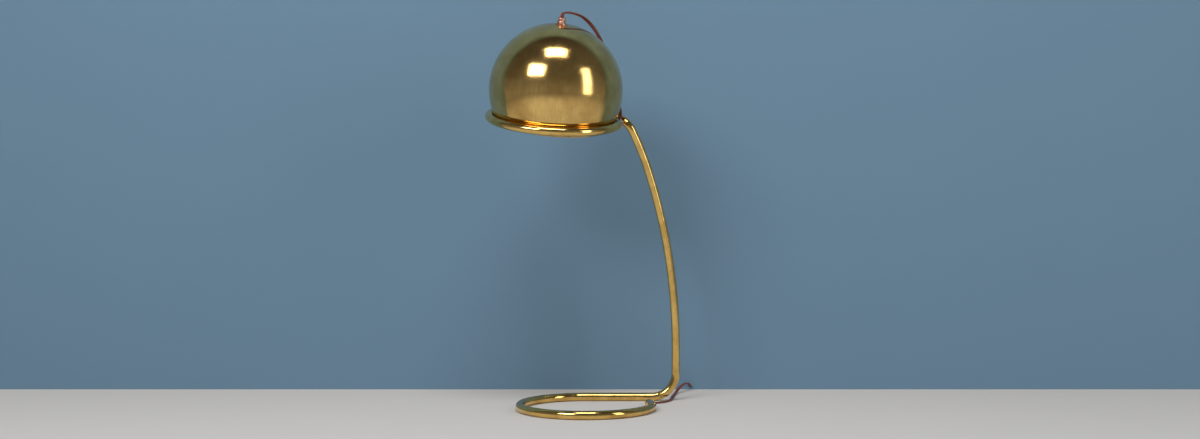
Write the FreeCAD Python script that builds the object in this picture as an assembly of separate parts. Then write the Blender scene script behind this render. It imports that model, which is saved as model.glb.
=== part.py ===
import FreeCAD, Part
import math
import os

# A desk lamp of polished brass tube: one tube makes the base ring, the stem and the ring that
# carries a loose spun dome. The origin is the middle of the base ring, on the table. The
# viewer stands at -Y, the stem is at the right (+X) and at the back (+Y). Sizes are in mm.

# ---- brass tube ----
TUBE_OD = 13.0
TUBE_WALL = 1.0
BASE_RING_RADIUS = 100.0
BASE_END_ANGLE = 15.0            # where the open end of the base ring lies, from +X
BASE_TANGENT_RUN = 103.5         # straight run from the back of the base ring
FOOT_BEND_RADIUS = 38.0
STEM_UPRIGHT = 40.0
STEM_SIDE_ANGLE = 36.0           # the stem's plane, turned from the back line to the viewer
STEM_LOWER_RADIUS = 735.0
STEM_LOWER_ANGLE = 22.6
STEM_UPPER_RADIUS = 404.0
STEM_UPPER_ANGLE = 9.0
NECK_BEND_RADIUS = 25.0
NECK_RUN = 37.4
SHADE_RING_RADIUS = 99.5
SHADE_RING_FRONT_ANGLE = 15.0    # the ring's plane leans to the viewer
SHADE_RING_RIGHT_ANGLE = 3.7
NECK_ANGLE = 40.0                # where the neck meets the shade ring
SHADE_RING_END_ANGLE = 0.0       # where the shade ring's open end lies

# ---- bushes in the two open ends ----
BUSH_DEPTH = 5.0
BUSH_FLANGE = 1.5
BUSH_ROUND_SHARE = 0.6           # of the flange's thickness, rounded at its rim
BUSH_FIT = 0.15                  # radial clearance of the straight bush in the curved tube
BUSH_BORE_CLEARANCE = 0.3        # radial, around the cord

# ---- dome ----
DOME_RISE = 44.0                 # from the middle of the shade ring to the middle of the dome
DOME_WALL = 1.0
DOME_RIM_ANGLE = 30.0            # the mouth lies this far below the widest line
DOME_RIM_BEAD = 1.3              # radius of the rolled rim
DOME_GAP = 0.3                   # between the dome and the ring it rests in
DOME_FRONT_ANGLE = 17.0
DOME_RIGHT_ANGLE = 5.5

# ---- fittings through the top of the dome ----
NIPPLE_RADIUS = 4.8
NIPPLE_BORE = 3.6
NIPPLE_HOLE_CLEARANCE = 0.2
SEAT_RADIUS = 14.0               # flat spun into the top of the dome
WASHER_RADIUS = 9.5
WASHER_THICKNESS = 0.8
LOCKNUT_ACROSS_FLATS = 14.0
LOCKNUT_HEIGHT = 3.0
GLAND_RADIUS = 6.7
GLAND_BASE_HEIGHT = 4.6
GLAND_BASE_ROUND = 1.0
GLAND_NECK_RADIUS = 4.6
GLAND_NECK_HEIGHT = 1.6
GLAND_HEAD_RADIUS = 6.0
GLAND_HEAD_HEIGHT = 3.6
GLAND_HEAD_ROUND = 1.2
GLAND_NOTCHES = 8                # grip notches round the gland's head
GLAND_NOTCH_RADIUS = 0.9
GLAND_NOTCH_OFFSET = 0.35        # the notches' middles lie this far outside the head
CLEARANCE = 0.05                 # radial, between turned pieces

# ---- lampholder ----
HOLDER_CAP_HEIGHT = 22.0
HOLDER_CAP_NECK_RADIUS = 9.0
HOLDER_CAP_NECK_HEIGHT = 6.0
HOLDER_CAP_SKIRT = 4.0           # straight part of the cap above the shell
HOLDER_CAP_BULGE = 1.6           # the cap's curve passes this far inside its skirt
HOLDER_CAP_BULGE_DROP = 11.5
HOLDER_CAP_ROOF = 1.0            # thickness of the cap's top
HOLDER_RADIUS = 16.5
HOLDER_SHELL_LENGTH = 36.0
HOLDER_WALL = 0.8
HOLDER_BEAD = 0.9
NIPPLE_IN_CAP = 6.0
LINER_WALL = 0.8
LINER_SHORT = 0.5                # the liner ends this far inside the shell
SOCKET_INNER_RADIUS = 13.3
SOCKET_WALL = 0.4
SOCKET_DEPTH = 24.0
BASE_BLOCK_HEIGHT = 12.0
WIRE_WAY_RADIUS = 2.2
WIRE_WAY_OFFSET = 8.5
CONTACT_LENGTH = 9.0
CONTACT_WIDTH = 5.0
CONTACT_THICKNESS = 0.5
CONTACT_DROP = 2.0               # the tongue's tip stands this far below the block
TERMINAL_RADIUS = 2.4
TERMINAL_HEAD = 1.6
TERMINAL_SHANK_RADIUS = 1.0
TERMINAL_SHANK_LENGTH = 4.5
TERMINAL_SPREAD = 8.5
TERMINAL_HOLE_CLEARANCE = 0.1
SCREW_SLOT_WIDTH = 0.7
SCREW_SLOT_DEPTH = 0.8
SET_SCREW_RADIUS = 1.5
SET_SCREW_LENGTH = 6.0
SET_SCREW_DROP = 3.5             # below the top of the cap's neck
SWITCH_SHAFT_RADIUS = 1.6
SWITCH_SHAFT_LENGTH = 19.0
SWITCH_SHAFT_START = 2.0
SWITCH_HOLE_CLEARANCE = 0.4
SWITCH_DROP = 6.0                # below the top of the holder's shell
KNOB_RADIUS = 5.5
KNOB_LENGTH = 14.0
KNOB_STAND_OFF = 1.5             # between the holder's shell and the knob
KNOB_ROUND = 1.2
KNOB_RIBS = 14
KNOB_GROOVE_RADIUS = 0.55
KNOB_COLLAR = 3.0                # smooth length before the knob's grooves
KNOB_FIT = 0.02

# ---- bulb ----
BULB_RADIUS = 30.0
BULB_LENGTH = 84.0               # glass, from the socket's mouth
BULB_SHOULDER_ANGLE = 38.0       # where the round bulb turns into its neck
BULB_WAIST = 1.2                 # how far the neck's curve is drawn in
BULB_NECK_CLEARANCE = 0.4        # between the glass neck and its cap
BULB_NECK_INSIDE = 6.0           # glass inside the cap
BULB_CAP_RADIUS = 12.9
BULB_CAP_WALL = 0.35
BULB_CAP_LID = 1.0
BULB_CAP_START = 0.5             # above the socket's mouth
BULB_TIP_RADIUS = 4.6
BULB_TIP_LENGTH = 2.6
BULB_NECK_START = 2.0            # below the socket's mouth
GLASS_WALL = 0.6

# ---- cord ----
CORD_DIAMETER = 5.4
CORD_BEND_SHARE = 0.45           # of the shorter run beside a bend, taken by the bend
COIL_CENTRE = FreeCAD.Vector(219.5, 300.0, 0.0)
COIL_OUTER_RADIUS = 43.0
COIL_PITCH = 5.9
COIL_LAYER = 5.9
COIL_QUARTERS_IN = 16            # quarter turns of the layer on the floor
COIL_QUARTERS = 29               # quarter turns of both layers
COIL_FLOOR_GAP = 0.7             # the tie passes under the turns
COIL_START_ANGLE = 180.0

# ---- plug ----
PLUG_LENGTH = 30.0
PLUG_WIDTH = 24.0
PLUG_HEIGHT = 13.0
PLUG_NOSE = 9.0                  # length of the strain relief
RELIEF_TIP_WIDER = 2.4           # the strain relief's tip, beyond the cord's diameter
RELIEF_TIP_HIGHER = 1.6
RELIEF_TIP_CORNER = 2.6
RELIEF_FOOT_WIDER = 5.0          # its foot on the plug's body, beyond the cord's diameter
RELIEF_FOOT_HIGHER = 3.0
RELIEF_FOOT_CORNER = 3.0
PLUG_SHOULDER = 6.0              # the body grows to its full size over this length
SHOULDER_NARROWER = 8.0          # the body's end at the strain relief, within its full size
SHOULDER_LOWER = 2.4
SHOULDER_CORNER = 4.0
PLUG_CORNER = 4.5
PLUG_FACE_ROUND = 1.0
PLUG_BESIDE_COIL = 2.0           # free space between the coil and the plug beside it
BLADE_LENGTH = 17.0
BLADE_ROOT = 8.0                 # length of a blade inside the body
BLADE_TIP_SHARE = 0.3            # of the blade's width, rounded at its tip
BLADE_WIDTH = 6.3
BLADE_THICKNESS = 1.5
BLADE_SPACING = 12.7


def vec(x, y, z):
    return FreeCAD.Vector(x, y, z)


X_AXIS = vec(1, 0, 0)
Y_AXIS = vec(0, 1, 0)
Z_AXIS = vec(0, 0, 1)


# ---- small helpers ----
def rotated(v, axis, degrees):
    return FreeCAD.Rotation(axis, degrees).multVec(v)


def lean(front, right):
    """Turn that leans +Z by front degrees to the viewer and by right degrees to +X."""
    return FreeCAD.Rotation(Y_AXIS, right).multiply(FreeCAD.Rotation(X_AXIS, front))


def placed(shape, base, turn):
    """A copy of a shape made at the origin, turned and moved to its place."""
    moved = shape.copy()
    moved.Placement = FreeCAD.Placement(base, turn)
    return moved


def rounded_corner(radius, height, round_radius):
    """Quarter round at the outer top corner of a turned profile, as its middle and end."""
    near = round_radius * (1 - math.sqrt(0.5))
    return vec(radius - near, 0, height - near), vec(radius - round_radius, 0, height)


def line(a, b):
    return Part.LineSegment(a, b).toShape()


def arc(a, middle, b):
    return Part.Arc(a, middle, b).toShape()


def cylinder(radius, height, z=0.0):
    return Part.makeCylinder(radius, height, vec(0, 0, z))


def ring_solid(outer, inner, height, z=0.0):
    return cylinder(outer, height, z).cut(cylinder(inner, height, z))


def revolved(points_and_middles):
    """Solid of revolution about Z. Each item is a point, or a pair (middle, end) for an arc."""
    edges = []
    here = points_and_middles[0]
    for item in points_and_middles[1:] + [points_and_middles[0]]:
        if isinstance(item, tuple):
            edges.append(arc(here, item[0], item[1]))
            here = item[1]
        else:
            edges.append(line(here, item))
            here = item
    return Part.Face(Part.Wire(edges)).revolve(vec(0, 0, 0), Z_AXIS, 360)


def swept(edges, radius, start, direction):
    """A round bar along tangent edges."""
    section = Part.Wire([Part.makeCircle(radius, start, direction)])
    return Part.Wire(edges).makePipeShell([section], True, False)


class Route:
    """The middle line of a bent tube, made of straight runs and bends that join smoothly."""

    def __init__(self, position, direction):
        self.position = position
        self.direction = direction.normalize()
        self.start = (position, self.direction)
        self.edges = []

    def straight(self, length):
        end = self.position + self.direction * length
        self.edges.append(line(self.position, end))
        self.position = end

    def bend(self, radius, axis, degrees):
        """Turn about an axis square to the direction, by the right-hand rule."""
        centre = self.position + axis.cross(self.direction).normalize() * radius
        spoke = self.position - centre
        middle = centre + rotated(spoke, axis, degrees / 2)
        end = centre + rotated(spoke, axis, degrees)
        self.edges.append(arc(self.position, middle, end))
        self.position = end
        self.direction = rotated(self.direction, axis, degrees)

    def bend_to(self, radius, direction):
        axis = self.direction.cross(direction).normalize()
        self.bend(radius, axis, math.degrees(self.direction.getAngle(direction)))

    def bar(self, radius):
        return swept(self.edges, radius, *self.start)

    def tube(self, outer, inner):
        return self.bar(outer).cut(self.bar(inner))


# ---- the bent tube ----
def ring_point(radius, degrees):
    angle = math.radians(degrees)
    return vec(radius * math.cos(angle), radius * math.sin(angle), 0)


def ring_tangent(degrees):
    """Direction of travel to growing angles."""
    angle = math.radians(degrees)
    return vec(-math.sin(angle), math.cos(angle), 0)


TUBE_RADIUS = TUBE_OD / 2
TUBE_BORE = TUBE_RADIUS - TUBE_WALL
SHADE_RING_TURN = lean(SHADE_RING_FRONT_ANGLE, SHADE_RING_RIGHT_ANGLE)


def base_route():
    """From the open end, clockwise round the base ring to its back, along and up."""
    start = ring_point(BASE_RING_RADIUS, BASE_END_ANGLE) + vec(0, 0, TUBE_RADIUS)
    route = Route(start, ring_tangent(BASE_END_ANGLE) * -1)
    route.bend(BASE_RING_RADIUS, Z_AXIS * -1, 270 + BASE_END_ANGLE)
    return route


def stem_route(base):
    """From the back of the base ring to the start of the shade ring."""
    route = Route(base.position, base.direction)
    route.straight(BASE_TANGENT_RUN)
    route.bend_to(FOOT_BEND_RADIUS, Z_AXIS)
    route.straight(STEM_UPRIGHT)
    lean_axis = rotated(Y_AXIS * -1, Z_AXIS, STEM_SIDE_ANGLE)
    route.bend(STEM_LOWER_RADIUS, lean_axis, STEM_LOWER_ANGLE)
    route.bend(STEM_UPPER_RADIUS, lean_axis, STEM_UPPER_ANGLE)
    route.bend_to(NECK_BEND_RADIUS, SHADE_RING_TURN.multVec(ring_tangent(NECK_ANGLE)))
    route.straight(NECK_RUN)
    return route


def shade_ring_route(stem):
    """From the neck round the back, left and front to the open end at the right."""
    route = Route(stem.position, stem.direction)
    normal = SHADE_RING_TURN.multVec(Z_AXIS)
    route.bend(SHADE_RING_RADIUS, normal, 360 + SHADE_RING_END_ANGLE - NECK_ANGLE)
    return route


BASE_ROUTE = base_route()
STEM_ROUTE = stem_route(BASE_ROUTE)
SHADE_RING_ROUTE = shade_ring_route(STEM_ROUTE)
RING_CENTRE = STEM_ROUTE.position - SHADE_RING_TURN.multVec(
    ring_point(SHADE_RING_RADIUS, NECK_ANGLE)
)

# the dome sits in the ring like a ball in a socket
DOME_REACH = math.hypot(SHADE_RING_RADIUS, DOME_RISE)
DOME_RADIUS = DOME_REACH - TUBE_RADIUS - DOME_GAP
DOME_CENTRE = RING_CENTRE + SHADE_RING_TURN.multVec(vec(0, 0, DOME_RISE))
DOME_TURN = lean(DOME_FRONT_ANGLE, DOME_RIGHT_ANGLE)

CORD_RADIUS = CORD_DIAMETER / 2


def end_bush():
    """Flanged bush, its flange outside the tube's end at z = 0."""
    bore = CORD_RADIUS + BUSH_BORE_CLEARANCE
    plug = ring_solid(TUBE_BORE - BUSH_FIT, bore, BUSH_DEPTH, -BUSH_DEPTH)
    flange = ring_solid(TUBE_RADIUS, bore, BUSH_FLANGE)
    bush = plug.fuse(flange).removeSplitter()
    rim = [e for e in bush.Edges if abs(e.BoundBox.ZMin - BUSH_FLANGE) < 0.01
           and e.BoundBox.XMax > TUBE_RADIUS - 0.1]
    return bush.makeFillet(BUSH_FLANGE * BUSH_ROUND_SHARE, rim)


def facing(direction):
    return FreeCAD.Rotation(Z_AXIS, direction)


BASE_END = BASE_ROUTE.start[0]
BASE_END_OUT = BASE_ROUTE.start[1] * -1
SHADE_END = SHADE_RING_ROUTE.position
SHADE_END_OUT = SHADE_RING_ROUTE.direction


def inner_cord():
    """The cord's stretch inside the tube, from flange face to flange face."""
    route = Route(BASE_END + BASE_END_OUT * BUSH_FLANGE, BASE_END_OUT * -1)
    route.straight(BUSH_FLANGE)
    edges = route.edges + BASE_ROUTE.edges + STEM_ROUTE.edges + SHADE_RING_ROUTE.edges
    edges = edges + [line(SHADE_END, SHADE_END + SHADE_END_OUT * BUSH_FLANGE)]
    return edges, swept(edges, CORD_RADIUS, *route.start)


# ---- the shade, about the dome's own centre, its axis along Z ----
def dome():
    """Spun shell: sphere from the rim to a small flat on top, with a rolled rim."""
    outer = DOME_RADIUS
    inner = DOME_RADIUS - DOME_WALL
    low = math.radians(-DOME_RIM_ANGLE)
    flat_outer = math.sqrt(outer**2 - SEAT_RADIUS**2)
    flat_inner = flat_outer - DOME_WALL
    high_outer = math.atan2(flat_outer, SEAT_RADIUS)
    inner_seat = math.sqrt(inner**2 - flat_inner**2)
    high_inner = math.atan2(flat_inner, inner_seat)
    hole = NIPPLE_RADIUS + NIPPLE_HOLE_CLEARANCE

    def on(radius, angle):
        return vec(radius * math.cos(angle), 0, radius * math.sin(angle))

    shell = revolved([
        vec(hole, 0, flat_inner),
        vec(inner_seat, 0, flat_inner),
        (on(inner, (high_inner + low) / 2), on(inner, low)),
        on(outer, low),
        (on(outer, (high_outer + low) / 2), vec(SEAT_RADIUS, 0, flat_outer)),
        vec(hole, 0, flat_outer),
    ])
    bead = on(outer - DOME_RIM_BEAD, low)
    rolled = Part.makeTorus(bead.x, DOME_RIM_BEAD, vec(0, 0, bead.z), Z_AXIS)
    return shell.fuse(rolled).removeSplitter(), flat_outer, flat_inner


def washer(z):
    return ring_solid(WASHER_RADIUS, NIPPLE_RADIUS + CLEARANCE, WASHER_THICKNESS, z)


def hexagon(across_flats, height, z):
    corner = across_flats / math.sqrt(3)
    points = [ring_point(corner, 60 * n) + vec(0, 0, z) for n in range(7)]
    return Part.Face(Part.makePolygon(points)).extrude(vec(0, 0, height))


def gland(top):
    """Turned cord grip that screws on the nipple: base, neck, notched head with a mouth."""
    low = top + WASHER_THICKNESS
    neck = low + GLAND_BASE_HEIGHT
    head = neck + GLAND_NECK_HEIGHT
    end = head + GLAND_HEAD_HEIGHT
    bore = CORD_RADIUS + BUSH_BORE_CLEARANCE
    thread = NIPPLE_RADIUS + CLEARANCE
    body = revolved([
        vec(thread, 0, low),
        vec(GLAND_RADIUS, 0, low),
        vec(GLAND_RADIUS, 0, neck - GLAND_BASE_ROUND),
        rounded_corner(GLAND_RADIUS, neck, GLAND_BASE_ROUND),
        vec(GLAND_NECK_RADIUS, 0, neck),
        vec(GLAND_NECK_RADIUS, 0, head),
        vec(GLAND_HEAD_RADIUS, 0, head),
        vec(GLAND_HEAD_RADIUS, 0, end - GLAND_HEAD_ROUND),
        rounded_corner(GLAND_HEAD_RADIUS, end, GLAND_HEAD_ROUND),
        vec(bore, 0, end),
        vec(bore, 0, neck),
        vec(thread, 0, neck),
    ])
    return body.cut(gland_notches(head)), neck, end


def gland_notches(head):
    """The grip notches that are cut into the gland's head."""
    at = vec(GLAND_HEAD_RADIUS + GLAND_NOTCH_OFFSET, 0, head - CLEARANCE)
    notches = []
    for n in range(GLAND_NOTCHES):
        notch = Part.makeCylinder(GLAND_NOTCH_RADIUS, GLAND_HEAD_HEIGHT + 1, at)
        notch.rotate(vec(0, 0, 0), Z_AXIS, 360 * n / GLAND_NOTCHES)
        notches.append(notch)
    return Part.makeCompound(notches)


def nipple(gland_seat, cap_top):
    """Threaded tube from the gland down into the lampholder's cap."""
    low = cap_top - NIPPLE_IN_CAP
    return ring_solid(NIPPLE_RADIUS, NIPPLE_BORE, gland_seat - low, low)


def holder_cap(top):
    """Domed cap of the lampholder, its neck on the nipple and a set screw through it."""
    low = top - HOLDER_CAP_HEIGHT
    neck = NIPPLE_RADIUS + CLEARANCE
    roof = top - HOLDER_CAP_NECK_HEIGHT - HOLDER_CAP_ROOF
    skirt = low + HOLDER_CAP_SKIRT
    bulge = HOLDER_RADIUS - HOLDER_CAP_BULGE
    drop = top - HOLDER_CAP_BULGE_DROP
    inner = HOLDER_RADIUS - HOLDER_WALL
    cap = revolved([
        vec(neck, 0, top),
        vec(HOLDER_CAP_NECK_RADIUS, 0, top),
        vec(HOLDER_CAP_NECK_RADIUS, 0, top - HOLDER_CAP_NECK_HEIGHT),
        (vec(bulge, 0, drop), vec(HOLDER_RADIUS, 0, skirt)),
        vec(HOLDER_RADIUS, 0, low),
        vec(inner, 0, low),
        vec(inner, 0, skirt),
        (vec(bulge - HOLDER_WALL, 0, drop - HOLDER_WALL),
         vec(HOLDER_CAP_NECK_RADIUS - HOLDER_WALL, 0, roof)),
        vec(neck, 0, roof),
    ])
    way = Part.makeCylinder(SET_SCREW_RADIUS + CLEARANCE, HOLDER_RADIUS,
                            vec(0, 0, top - SET_SCREW_DROP), Y_AXIS)
    return cap.cut(way)


def switch_way(top, radius):
    """The hole for the switch's shaft, from the holder's middle out."""
    return Part.makeCylinder(radius, HOLDER_RADIUS + 1, vec(0, 0, top - SWITCH_DROP), X_AXIS)


def holder_shell(top):
    """Straight shell of the lampholder below its cap, with a beaded mouth."""
    low = top - HOLDER_SHELL_LENGTH
    inner = HOLDER_RADIUS - HOLDER_WALL
    shell = ring_solid(HOLDER_RADIUS, inner, HOLDER_SHELL_LENGTH, low)
    bead = Part.makeTorus(HOLDER_RADIUS, HOLDER_BEAD, vec(0, 0, low + HOLDER_BEAD), Z_AXIS)
    inside = cylinder(inner, HOLDER_SHELL_LENGTH, low)
    hole = switch_way(top, SWITCH_SHAFT_RADIUS + SWITCH_HOLE_CLEARANCE)
    return shell.fuse(bead).cut(inside).cut(hole)


def holder_liner(top):
    """Insulating sleeve between the shell and the screw socket."""
    outer = HOLDER_RADIUS - HOLDER_WALL - CLEARANCE
    low = top - HOLDER_SHELL_LENGTH + LINER_SHORT
    sleeve = ring_solid(outer, outer - LINER_WALL, top - low, low)
    return sleeve.cut(switch_way(top, SWITCH_SHAFT_RADIUS + SWITCH_HOLE_CLEARANCE))


def base_block(top):
    """Moulded block that carries the contacts and the switch, at the top of the shell."""
    outer = HOLDER_RADIUS - HOLDER_WALL - 2 * CLEARANCE - LINER_WALL
    low = top - BASE_BLOCK_HEIGHT
    block = cylinder(outer, BASE_BLOCK_HEIGHT, low)
    hole_radius = TERMINAL_SHANK_RADIUS + TERMINAL_HOLE_CLEARANCE
    for side in (-1, 1):
        hole = cylinder(hole_radius, TERMINAL_SHANK_LENGTH, top - TERMINAL_SHANK_LENGTH)
        hole.translate(vec(0, side * TERMINAL_SPREAD, 0))
        block = block.cut(hole)
    wires = Part.makeCylinder(WIRE_WAY_RADIUS, BASE_BLOCK_HEIGHT, vec(-WIRE_WAY_OFFSET, 0, low))
    return block.cut(switch_way(top, SWITCH_SHAFT_RADIUS + CLEARANCE)).cut(wires), low


def screw_socket(block_low):
    """Brass sleeve that the bulb's cap screws into, under the block."""
    low = block_low - SOCKET_DEPTH
    return ring_solid(SOCKET_INNER_RADIUS + SOCKET_WALL, SOCKET_INNER_RADIUS, SOCKET_DEPTH, low)


def centre_contact(block_low):
    """Spring tongue under the block that meets the bulb's tip."""
    half_length = CONTACT_LENGTH / 2
    half_width = CONTACT_WIDTH / 2
    plate = Part.makeBox(CONTACT_LENGTH, CONTACT_WIDTH, CONTACT_THICKNESS,
                         vec(-half_length, -half_width, block_low - CONTACT_THICKNESS))
    tip = Part.makeBox(CONTACT_THICKNESS, CONTACT_WIDTH, CONTACT_DROP,
                       vec(half_length - CONTACT_THICKNESS, -half_width,
                           block_low - CONTACT_DROP))
    return plate.fuse(tip).removeSplitter()


def terminal_screws(top):
    """Two slotted screws that clamp the cord's wires."""
    screws = []
    for side in (-1, 1):
        head = cylinder(TERMINAL_RADIUS, TERMINAL_HEAD, top)
        shank = cylinder(TERMINAL_SHANK_RADIUS, TERMINAL_SHANK_LENGTH, top - TERMINAL_SHANK_LENGTH)
        slot = Part.makeBox(2 * TERMINAL_RADIUS, SCREW_SLOT_WIDTH, SCREW_SLOT_DEPTH,
                            vec(-TERMINAL_RADIUS, -SCREW_SLOT_WIDTH / 2,
                                top + TERMINAL_HEAD - SCREW_SLOT_DEPTH))
        screw = head.fuse(shank).cut(slot).removeSplitter()
        screw.translate(vec(0, side * TERMINAL_SPREAD, 0))
        screws.append(screw)
    return Part.makeCompound(screws)


def set_screw(cap_top):
    """Grub screw through the cap's neck that locks it on the nipple."""
    start = NIPPLE_RADIUS + CLEARANCE
    middle = cap_top - SET_SCREW_DROP
    screw = Part.makeCylinder(SET_SCREW_RADIUS, SET_SCREW_LENGTH, vec(0, start, middle), Y_AXIS)
    slot = Part.makeBox(2 * SET_SCREW_RADIUS, SCREW_SLOT_DEPTH, SCREW_SLOT_WIDTH,
                        vec(-SET_SCREW_RADIUS, start + SET_SCREW_LENGTH - SCREW_SLOT_DEPTH,
                            middle - SCREW_SLOT_WIDTH / 2))
    return screw.cut(slot)


def switch_shaft(top):
    return Part.makeCylinder(SWITCH_SHAFT_RADIUS, SWITCH_SHAFT_LENGTH,
                             vec(SWITCH_SHAFT_START, 0, top - SWITCH_DROP), X_AXIS)


def switch_knob(top):
    """Ribbed turn knob on the end of the switch's shaft."""
    start = HOLDER_RADIUS + KNOB_STAND_OFF
    end = start + KNOB_LENGTH
    z = top - SWITCH_DROP
    knob = Part.makeCylinder(KNOB_RADIUS, KNOB_LENGTH, vec(start, 0, z), X_AXIS)
    outer_edge = [e for e in knob.Edges if e.BoundBox.XMin > end - CLEARANCE]
    knob = knob.makeFillet(KNOB_ROUND, outer_edge)
    for n in range(KNOB_RIBS):
        spoke = ring_point(KNOB_RADIUS, 360 * n / KNOB_RIBS)
        groove = Part.makeCylinder(KNOB_GROOVE_RADIUS, KNOB_LENGTH,
                                   vec(start + KNOB_COLLAR, spoke.x, z + spoke.y), X_AXIS)
        knob = knob.cut(groove)
    depth = SWITCH_SHAFT_START + SWITCH_SHAFT_LENGTH - start
    bore = Part.makeCylinder(SWITCH_SHAFT_RADIUS + KNOB_FIT, depth, vec(start, 0, z), X_AXIS)
    return knob.cut(bore)


def bulb(mouth):
    """Pear-shaped glass, hollow, with its neck in the cap."""
    middle = mouth - BULB_LENGTH + BULB_RADIUS
    end = mouth + BULB_NECK_INSIDE

    def outline(offset):
        r = BULB_RADIUS - offset
        neck = BULB_CAP_RADIUS - BULB_NECK_CLEARANCE - offset
        shoulder = ring_point(r, BULB_SHOULDER_ANGLE)
        side = ring_point(r, (BULB_SHOULDER_ANGLE - 90) / 2)
        shoulder = vec(shoulder.x, 0, middle + shoulder.y)
        side = vec(side.x, 0, middle + side.y)
        neck_low = vec(neck, 0, mouth - BULB_NECK_START)
        waist = (shoulder + neck_low) / 2 - X_AXIS * BULB_WAIST
        return revolved([
            vec(0, 0, middle - r),
            (side, shoulder),
            (waist, neck_low),
            vec(neck, 0, end),
            vec(0, 0, end),
        ])

    return outline(0).cut(outline(GLASS_WALL))


def bulb_cap(mouth, contact_low):
    """Screw cap of the bulb with its insulator and tip."""
    low = mouth + BULB_CAP_START
    high = contact_low - CLEARANCE - BULB_TIP_LENGTH
    shell = ring_solid(BULB_CAP_RADIUS, BULB_CAP_RADIUS - BULB_CAP_WALL, high - low, low)
    lid = cylinder(BULB_CAP_RADIUS, BULB_CAP_LID, high - BULB_CAP_LID)
    tip = cylinder(BULB_TIP_RADIUS, BULB_TIP_LENGTH, high)
    return shell.fuse(lid).fuse(tip).removeSplitter()


# ---- cord ----
def cord_edges(points):
    """Straight runs joined by tangent arcs, each as large as its two runs allow."""
    edges = []
    radii = []
    here = points[0]
    for before, corner, after in zip(points, points[1:], points[2:]):
        arriving = (corner - before).normalize()
        leaving = (after - corner).normalize()
        half_turn = arriving.getAngle(leaving) / 2
        reach = CORD_BEND_SHARE * min((corner - before).Length, (after - corner).Length)
        radius = reach / math.tan(half_turn)
        start = corner - arriving * reach
        end = corner + leaving * reach
        inward = (leaving - arriving).normalize()
        middle = corner + inward * (radius / math.cos(half_turn) - radius)
        edges.append(line(here, start))
        edges.append(arc(start, middle, end))
        radii.append(radius)
        here = end
    edges.append(line(here, points[-1]))
    return edges, radii


def cord_tube(name, points):
    edges, radii = cord_edges(points)
    tube = swept(edges, CORD_RADIUS, points[0], (points[1] - points[0]).normalize())
    length = sum(edge.Length for edge in edges)
    share = tube.Volume / (math.pi * CORD_RADIUS**2 * length)
    print(name, "length", round(length, 1), "volume share", round(share, 4),
          "bend radii", [round(radius, 1) for radius in radii])
    return tube


def shade_cord_points(gland_mouth, gland_axis):
    """From the gland over the dome's right shoulder, down behind it to the ring's open end."""
    mouth = SHADE_END + SHADE_END_OUT * BUSH_FLANGE
    return [
        gland_mouth,
        gland_mouth + gland_axis * 6.0,
        vec(-30.0, -20.6, 600.2),
        vec(-23.5, -16.0, 600.6),
        vec(-13.0, -8.0, 598.4),
        vec(-2.0, 6.0, 593.5),
        vec(9.5, 24.0, 584.5),
        vec(21.0, 44.5, 569.0),
        vec(33.5, 66.0, 542.0),
        vec(43.0, 75.5, 511.0),
        vec(49.0, 67.0, 484.0),
        vec(51.5, 58.0, 467.0),
        vec(52.5, 47.0, 455.0),
        vec(52.8, 37.0, 445.5),
        mouth + SHADE_END_OUT * 6.5,
        mouth,
    ]


def outlet_cord_points(coil_start):
    """From the base ring's open end, under the foot bend and back to the coil."""
    mouth = BASE_END + BASE_END_OUT * BUSH_FLANGE
    floor = CORD_RADIUS
    return [
        mouth,
        mouth + BASE_END_OUT * 9.0,
        vec(94.5, 48.0, 4.2),
        vec(101.5, 60.5, floor),
        vec(115.0, 71.0, floor),
        vec(127.5, 84.5, floor),
        vec(134.0, 102.0, floor),
        vec(137.0, 125.0, floor),
        vec(141.0, 155.0, floor),
        vec(146.0, 181.0, 3.2),
        vec(152.5, 199.0, 8.5),
        vec(161.5, 216.0, 12.6),
        vec(170.0, 230.0, 12.4),
        vec(175.5, 245.0, 4.4),
        vec(coil_start.x, 264.0, coil_start.z),
        coil_start,
    ]


PLUG_BACK = vec(
    COIL_CENTRE.x + COIL_OUTER_RADIUS + CORD_RADIUS + PLUG_BESIDE_COIL + PLUG_WIDTH / 2,
    303.0,
    PLUG_HEIGHT / 2,
)


def tail_cord_points(coil_end):
    """From the coil's top layer down to the plug."""
    return [
        coil_end,
        coil_end + X_AXIS * 18.0,
        vec(PLUG_BACK.x - 11.0, 335.0, 7.6),
        vec(PLUG_BACK.x, 321.0, PLUG_BACK.z),
        PLUG_BACK,
    ]


def coil_node(quarter):
    """Place and direction of the coil's middle line after so many quarter turns."""
    reversal = COIL_QUARTERS_IN
    inner_radius = COIL_OUTER_RADIUS - COIL_PITCH * reversal / 4
    radius = inner_radius + COIL_PITCH * abs(quarter - reversal) / 4
    growth = COIL_PITCH / (2 * math.pi) * (0 if quarter == reversal else
                                           math.copysign(1, quarter - reversal))
    lift = COIL_LAYER * min(max((quarter - reversal + 1) / 2, 0), 1)
    # the layer is climbed in half a turn, and steepest half way
    climb = 1.5 * COIL_LAYER / (math.pi * radius) if quarter == reversal else 0
    angle = math.radians(COIL_START_ANGLE - 90 * quarter)
    spoke = vec(math.cos(angle), math.sin(angle), 0)
    along = vec(math.sin(angle), -math.cos(angle), climb) + spoke * (growth / radius)
    floor = vec(0, 0, COIL_FLOOR_GAP + CORD_RADIUS + lift)
    return COIL_CENTRE + spoke * radius + floor, along.normalize()


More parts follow.
